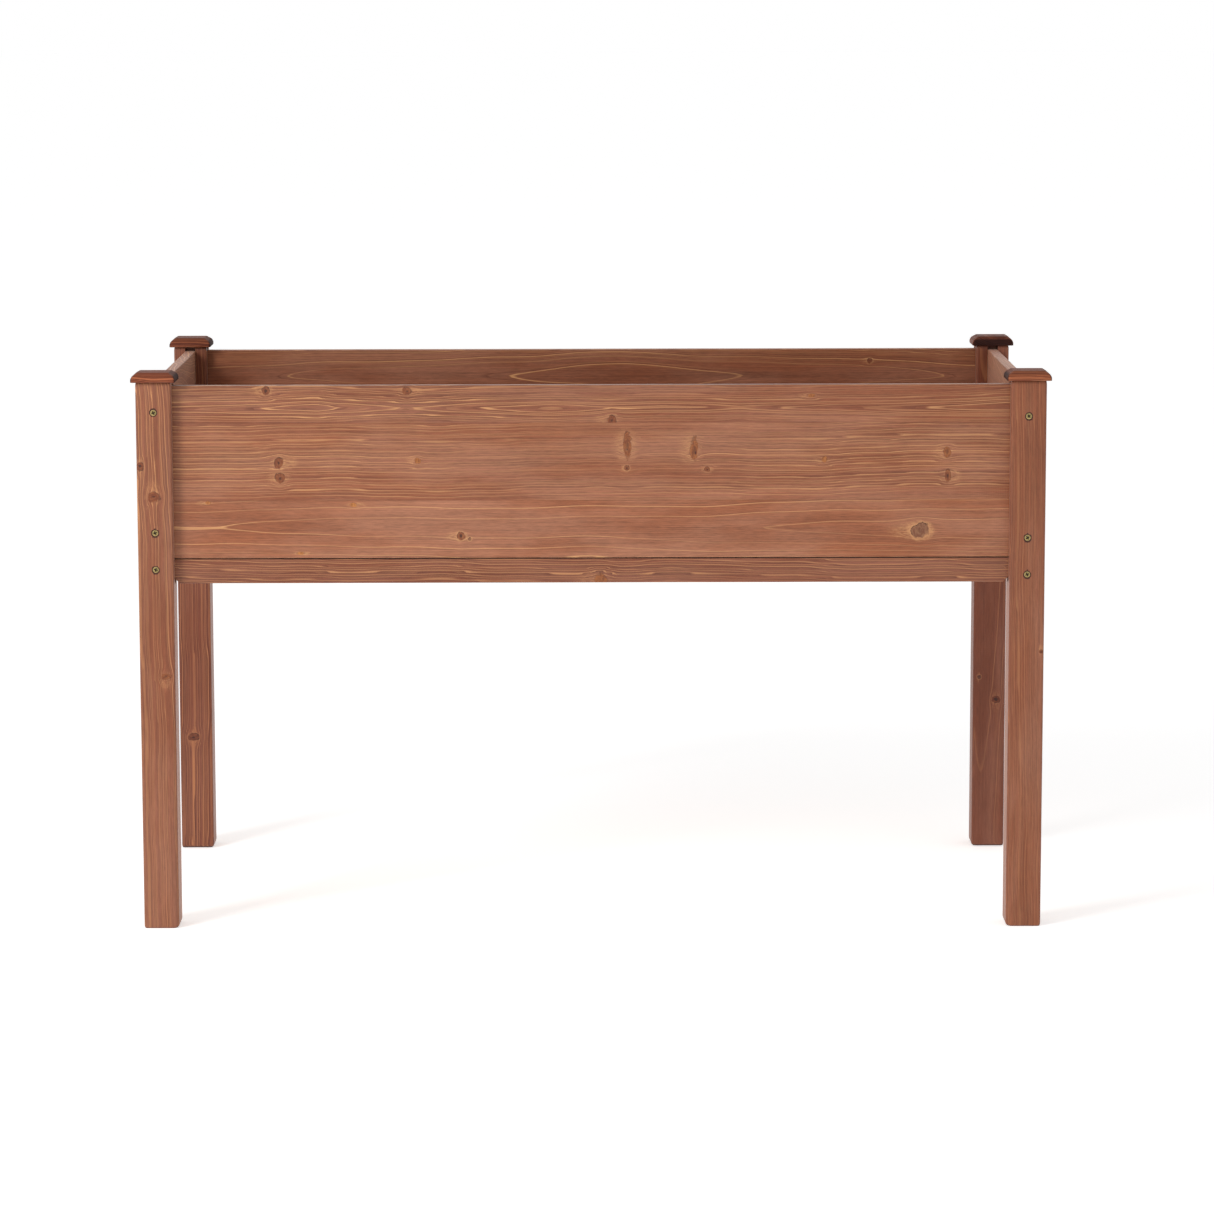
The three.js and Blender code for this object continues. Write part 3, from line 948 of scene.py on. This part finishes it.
def darken_holes(mesh, holes):
    """Raises the end grain mark inside the countersinks, where bare fibres took a lot of stain; the dark
    colour there is also painted shade round each screw head.
    """
    points, _, _ = corner_arrays(mesh)
    layer = mesh.attributes["mark"].data
    marks = vectors(layer, "vector")
    for at, outward in holes:
        away = points - np.array(at)
        depth = -away @ np.array(outward)
        across = np.linalg.norm(away + depth[:, None] * np.array(outward), axis=1)
        inside = (across < COUNTERSINK_MOUTH + 0.05 * MM) & (depth > -0.2 * MM) & (depth < BORE_DEPTH)
        # Painted shade in the countersink, drawn with the end grain colour.
        marks[inside, 0] = 1
    layer.foreach_set("vector", marks.astype(np.float32).ravel())


LEG_TOP_ROUND = 1 * MM
FOOT_ROUND_OUTSIDE = 1.5 * MM
FOOT_ROUND_INSIDE = 5.5 * MM


def post_mesh(board):
    """A leg's body. Its foot is well rounded on the two sides that face the planter's middle."""
    half_u, half_v, half_w = board.half
    play = 0.1 * MM
    parts = shares(2 * (half_v - board.edge), STEP_ACROSS)
    loops = []
    for u, inset in stations(half_u - play, FOOT_ROUND_INSIDE):
        rounds = (LEG_TOP_ROUND, LEG_TOP_ROUND) if u > 0 else (FOOT_ROUND_OUTSIDE, FOOT_ROUND_INSIDE)
        outer, inner = (play + inset * size / FOOT_ROUND_INSIDE for size in rounds)
        gaps = [(inner, outer) if place > 0 else (outer, inner) for place in board.centre[:2]]
        low = (-half_v + gaps[0][0], -half_w + gaps[1][0])
        high = (half_v - gaps[0][1], half_w - gaps[1][1])
        section = rounded_section(low, high, board.edge, parts, parts, steps=6)
        loops.append(np.column_stack([np.full(len(section), u), section]))
    points, faces = closed_loft(loops)
    return make_mesh(board.node, uneven(board.world(points), board.seed, play), faces)


def cap_profile():
    """(inset, height) up the cap's side: an upright lip, then a rounded slope to the flat top."""
    profile = [(0.6, 0), (0.18, 0.18), (0, 0.6), (0, 1.5), (0, 2.6), (0, 3.5), (0, 3.9)]
    for t in np.linspace(0, 1, 15):
        bulge = 0.16 * math.sin(math.pi * t)
        profile.append((8.5 * (t - bulge), 4 + 9 * min(1, t + bulge * (1 - t))))
    return [(inset * MM, height * MM) for inset, height in profile]


def make_cap(corner, along, strip, seed, material):
    """A square plate with an upright lip and rounded slopes."""
    across = Y if along == X else X
    board = Board("cap_" + corner, along, across, Z, (strip,), seed, edge=1 * MM)
    half_u, half_v, half_w = board.half
    play = 0.06 * MM
    corner_radius = 3 * MM
    parts = shares(2 * (half_u - corner_radius), 2.2 * MM)
    loops = []
    for inset, height in cap_profile():
        low = (-half_u + inset + play, -half_v + inset + play)
        high = (half_u - inset - play, half_v - inset - play)
        section = rounded_section(low, high, corner_radius, parts, parts, steps=6)
        level = np.full(len(section), -half_w + play + height * (1 - play / half_w))
        loops.append(np.column_stack([section, level]))
    points, faces = closed_loft(loops)
    mesh = make_mesh(board.node, uneven(board.world(points), board.seed, play, 0.06), faces)
    paint_wood(mesh, board)
    finish_piece(mesh, board.node, material, sharp=50)


def make_board(board, slot, material, **shape):
    mesh = board_mesh(board, **shape)
    paint_wood(mesh, board)
    finish_piece(mesh, board.node, material)


PANEL_SEAMS = (66.4 * MM, -38.9 * MM)


def make_panel(side, along, through, seed, material, *strips):
    """A panel glued up from strips, given from the top down."""
    board = Board("panel_" + side, along, Z, through, strips, seed)
    limits = (board.half[1] + MM, *PANEL_SEAMS, -board.half[1] - MM)
    for strip, high, low in zip(strips, limits, limits[1:]):
        strip.low, strip.high = low, high
    make_board(board, "panel_wood", material, seams=PANEL_SEAMS)


RAIL_RISE = 7 * MM
RAIL_SLOPE_FROM = 18 * MM


def make_rail(side, along, through, strip, seed, material):
    board = Board("rail_" + side, along, Z, through, (strip,), seed)
    half_u, half_v, _ = board.half

    def extent(u):
        rise = min(max(RAIL_SLOPE_FROM - (half_u - abs(u)), 0), RAIL_RISE)
        return -half_v + rise, half_v

    knees = [half_u - RAIL_SLOPE_FROM, half_u - RAIL_SLOPE_FROM + RAIL_RISE]
    make_board(board, "rail_wood", material, extent=extent, knees=knees)


NOTCH_X = 564 * MM
NOTCH_Y = 250 * MM


def make_slat(number, seed, material):
    """A floor slat. The two end slats stop short of the legs with a notch at each of those corners."""
    node = f"floor_slat_{number:02d}"
    dice = np.random.default_rng(seed)
    pith = (dice.uniform(-0.03, 0.03), dice.uniform(0.03, 0.09))
    knots = tuple(
        tuple(dice.uniform((-0.25, -0.045, 3 * MM, 3 * MM, 0.2), (0.25, 0.045, 8 * MM, 6 * MM, 1)))
        for _ in range(dice.integers(0, 3))
    )
    slope = dice.uniform(-3, 3)
    lift = ((-0.27, -slope), (0.27, slope))
    strip = Strip(pith, dice.uniform(2.4, 4.2) * MM, lift, knots=knots, tone=dice.uniform(-0.6, 0.6))
    board = Board(node, Y, X, -Z, (strip,), seed)
    half_v = board.half[1]
    centre = board.centre.x
    outside = abs(centre) + half_v > NOTCH_X

    def extent(u):
        if not outside or abs(u) <= NOTCH_Y:
            return -half_v, half_v
        if centre < 0:
            return -NOTCH_X - centre, half_v
        return -half_v, NOTCH_X - centre

    knees = [NOTCH_Y, NOTCH_Y + 0.02 * MM] if outside else []
    make_board(board, "floor_wood", material, extent=extent, knees=knees)


def make_ledger(side, through, seed, material):
    board = Board("ledger_" + side, X, Z, through, (plain_strip(seed),), seed)
    finish_screwed(board_mesh(board), board, screws_of_ledger(side), material)


def screws_of_ledger(side):
    low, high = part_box("ledger_" + side)
    inward, face = (Y, high.y) if side == "front" else (-Y, low.y)
    found = []
    for i in (1, 2, 3):
        node = f"ledger_screw_{side}_{i}"
        centre = middle(node)
        found.append((node, Vector((centre.x, face, centre.z)), inward))
    return found


# ---- The planter ----

STAIN = Stain(
    early=srgb(143, 92, 68),
    early_warm=srgb(128, 72, 45),
    late=srgb(195, 142, 94),
    dark=srgb(90, 44, 28),
    end=srgb(52, 30, 25),
    edge_wear_and_shade=srgb(186, 136, 102),
    amber=srgb(178, 112, 50),
    knot=srgb(118, 52, 18),
    dead_knot=srgb(108, 68, 50),
    bark=srgb(56, 26, 16),
)
CAP_STAIN = replace(
    STAIN,
    early=srgb(118, 62, 42),
    early_warm=srgb(92, 44, 28),
    late=srgb(176, 106, 68),
    dark=srgb(60, 28, 20),
    end=srgb(34, 20, 20),
    roughness=0.62,
    gloss=0.12,
    haze=0.05,
)
LEG_STAIN = replace(
    STAIN,
    late=srgb(196, 139, 90),
    dark=srgb(86, 38, 26),
    # Painted shade: the legs' eased edges are darkened, as where they turn away from the light.
    edge_wear_and_shade=srgb(108, 60, 42),
    coarse=0.8,
    haze=0.15,
)
FLOOR_STAIN = Stain(
    early=srgb(168, 128, 92),
    early_warm=srgb(184, 140, 98),
    late=srgb(206, 166, 122),
    dark=srgb(140, 98, 66),
    end=srgb(128, 92, 64),
    edge_wear_and_shade=srgb(206, 172, 134),
    amber=srgb(190, 136, 84),
    knot=srgb(150, 90, 52),
    dead_knot=srgb(104, 76, 56),
    bark=srgb(60, 38, 28),
    contrast=0.8,
    roughness=0.62,
)


def in_mm(*knots):
    """Knots given in millimetres, apart from their darkness."""
    return tuple((*(length * MM for length in lengths), dark) for *lengths, dark in knots)


def front_panel_strips():
    """The three boards of the front panel, from the top down."""
    top = Strip(
        (0.0864, -0.0015), 3.3 * MM,
        lift=(
            (-0.58, 1.6), (-0.443, 0.95), (-0.37, 0.40), (-0.342, 0.95), (-0.25, 1.9),
            (-0.146, 0.95), (-0.055, 0.32), (0.026, 0.925), (0.038, 0.91), (0.09, 0.905),
            (0.15, 0.93), (0.20, 1.3), (0.259, 0.95), (0.451, -0.05), (0.58, -0.8),
        ),
        wander=0.001,
        knots=in_mm(
            (-438, 110.4, 6, 6, 0.82),
            (-248, 109.4, 6, 5.5, 0.6),
            (27, 69, 6.5, 6.5, 0.65),
            (297, 102.4, 5, 3, 0.35),
        ),
        tone=-0.7,
        vivid=1.9,
        calm=0.6,
    )
    centre = Strip(
        (-0.09, 0.03), 4.4 * MM,
        lift=((-0.58, 0.4), (-0.3, 0.9), (0.0, 0.6), (0.3, 0.9), (0.58, 0.4)),
        drift=0.006,
        knots=in_mm(
            (-422, 12.4, 7, 7.5, 0.74),
            (-421, -8.6, 6, 8, 0.70),
            (-235, 15.4, 4.5, 4.5, 0.35),
            (49, 35.4, 6, 19, 0.54),
            (49, 30.4, 5, 8, 0.9),
            (48, 4.4, 4, 4, 0.84),
            (139, 30.4, 5.5, 17, 0.50),
            (140, 25.4, 4, 6, 0.75),
            (157, 2.4, 3.5, 3.5, 0.7),
            (315, 15.4, 4, 4, 0.35),
            (480, 25.4, 5, 8, 0.5),
            (482, -6.6, 5, 9, 0.6),
        ),
        tone=-0.2,
        line=0.9 * MM,
    )
    bottom = Strip(
        (-0.0765, 0.008), 11 * MM,
        lift=(
            (-0.58, 0.905), (-0.50, 0.914), (-0.42, 0.70), (-0.30, 0.50), (0.0, 0.45),
            (0.12, 0.25), (0.237, -0.08), (0.35, -0.30), (0.58, -0.6),
        ),
        drift=-0.004,
        dips=((0.44, -0.130, 0.22, 0.018, -2.8), (0.005, -0.120, 0.15, 4.5 * MM, 0.45)),
        knots=in_mm(
            (-519, -41.6, 4, 2.6, 0.35),
            (-322, -44.6, 5, 3.2, 0.3),
            (-177, -87.6, 6, 6, 0.8),
            (-165, -91.6, 2.6, 2.6, 1.0),
            (-394, -110.6, 5, 2.4, 0.25),
            (445, -81.6, 12, 10, 1.0),
        ),
        tone=0.75,
        line=0.75 * MM,
        mixed=0.25,
    )
    return top, centre, bottom


def plain_strips(seed, lowest_tone_and_light=-0.5, highest_tone_and_light=0.5, length=1.1):
    """Three boards of ordinary figure."""
    dice = np.random.default_rng(seed)
    made = []
    half = length / 2
    for height in (0.09, 0.013, -0.078):
        slope = dice.uniform(1.5, 3.5) * dice.choice((-1, 1))
        least = (-half, height - 0.02, 3 * MM, 3 * MM, 0.2)
        most = (half, height + 0.02, 8 * MM, 8 * MM, 1)
        count = round(length * dice.uniform(2, 6))
        knots = tuple(tuple(dice.uniform(least, most)) for _ in range(count))
        pith = (height + dice.uniform(-0.02, 0.02), dice.uniform(0.01, 0.05))
        spacing = dice.uniform(3.4, 4.6) * MM
        lift = ((-half, slope), (dice.uniform(-0.1, 0.1), dice.uniform(-1, 1)), (half, -slope))
        drift = dice.uniform(-0.02, 0.02)
        tone = dice.uniform(lowest_tone_and_light, highest_tone_and_light)
        made.append(Strip(pith, spacing, lift, drift, knots=knots, tone=tone))
    return made


def rear_panel_strips():
    """The rear panel, whose inner face shows a long oval figure in its top board."""
    top = Strip(
        (0.0784, 0.0225), 6.0 * MM,
        lift=((-0.58, 2.4), (-0.12, 0.93), (0.05, 0.13), (0.219, 0.93), (0.58, 2.2)),
        knots=in_mm((410, 100, 4, 4, 0.8)),
        tone=-0.35,
        line=0.8 * MM,
        vivid=1.5,
    )
    return [top, *plain_strips(21)[1:]]


def plain_strip(seed, pith=(0.0, 0.05), spacing=3.6 * MM, slope=2.0, length=0.6, **look):
    dice = np.random.default_rng(seed)
    lift = ((-length, slope), (dice.uniform(-0.1, 0.1) * length, dice.uniform(-0.5, 0.5)), (length, -slope))
    return Strip(pith, spacing, lift, dice.uniform(-0.006, 0.006), **look)


def leg_strip(seed, pith, tone, vivid, *knots):
    """A leg's knots are given by height above the ground."""
    centre = middle("leg_front_left").z
    placed = tuple((height - centre, *rest) for height, *rest in in_mm(*knots))
    return plain_strip(seed, pith, 3.2 * MM, 1.2, 0.37, knots=placed, tone=tone, vivid=vivid)


def make_panels(material):
    make_panel("front", X, Y, 1, material, *front_panel_strips())
    make_panel("rear", X, Y, 2, material, *rear_panel_strips())
    # Painted light: the side panels get lighter tones, the right one most, as their inner faces catch the
    # light from the left.
    make_panel("left", Y, -X, 3, material, *plain_strips(31, 0.5, 1.4, 0.5))
    make_panel("right", Y, X, 4, material, *plain_strips(41, 0.6, 1.6, 0.5))


def make_rails(material):
    front = plain_strip(5, (0.12, 0.03), knots=in_mm((12, -12.5, 9, 10, 0.36)), tone=-1.6, vivid=1.4)
    make_rail("front", X, Y, front, 5, material)
    make_rail("rear", X, Y, plain_strip(6, (0.01, 0.05), tone=-0.5), 6, material)
    make_rail("left", Y, -X, plain_strip(7, length=0.27), 7, material)
    make_rail("right", Y, X, plain_strip(8, length=0.27), 8, material)


def make_legs(material):
    front_left_knots = ((636, -19, 6, 5, 0.7), (594, -1, 6.5, 9.5, 0.6), (349, 11, 5, 7, 0.5))
    # Each leg's pith, tone, vivid and knots. The rear legs' low tones are partly painted shade, as they stand
    # in the box's shade.
    looks = {
        "front_left": ((0.045, 0.05), -0.7, 1.1, *front_left_knots),
        "front_right": ((0.06, 0.05), -0.5, 0.35, (380, 20, 3, 3, 0.6)),
        "rear_right": ((-0.01, 0.07), -1.8, 0.6, (256, -15, 3, 3, 0.95), (222, 10, 6, 6, 0.7)),
        "rear_left": ((-0.05, 0.03), -2.3, 1.7, (168, -4, 6, 8, 0.85)),
    }
    for seed, (corner, look) in enumerate(looks.items(), 50):
        make_leg(corner, leg_strip(seed, *look), seed, material)


def make_caps(material):
    looks = ((X, -1.4), (X, 0.3), (Y, -1.5), (X, -1.0))
    for seed, (corner, (along, tone)) in enumerate(zip(CORNERS, looks), 60):
        strip = plain_strip(seed, (0.01, 0.05), 2.6 * MM, 0.4, 0.03, tone=tone, vivid=1.5)
        make_cap(corner, along, strip, seed, material)


def make_slats_and_ledgers(material):
    for number in range(1, 12):
        make_slat(number, 70 + number, material)
    make_ledger("front", -Y, 90, material)
    make_ledger("rear", Y, 91, material)


def make_screws(material):
    dice = np.random.default_rng(7)
    leg_screw = screw_mesh(*LEG_SCREW)
    ledger_screw = screw_mesh(*LEDGER_SCREW)
    screws = [(*screw, leg_screw) for corner in CORNERS for screw in screws_of_leg(corner)]
    screws += [(*screw, ledger_screw) for side in ("front", "rear") for screw in screws_of_ledger(side)]
    for seed, screw in enumerate(screws):
        add_screw(*screw, material, seed, dice.uniform(0, math.pi / 2))


def make_planter():
    wood = wood_material("stained_fir", STAIN)
    make_panels(wood)
    make_rails(wood)
    make_legs(wood_material("stained_fir_post", LEG_STAIN))
    make_caps(wood_material("stained_fir_cap", CAP_STAIN))
    make_slats_and_ledgers(wood_material("oiled_fir", FLOOR_STAIN))
    make_screws(zinc_material())


make_camera()
make_lamp()
make_studio()
make_floor()
make_planter()
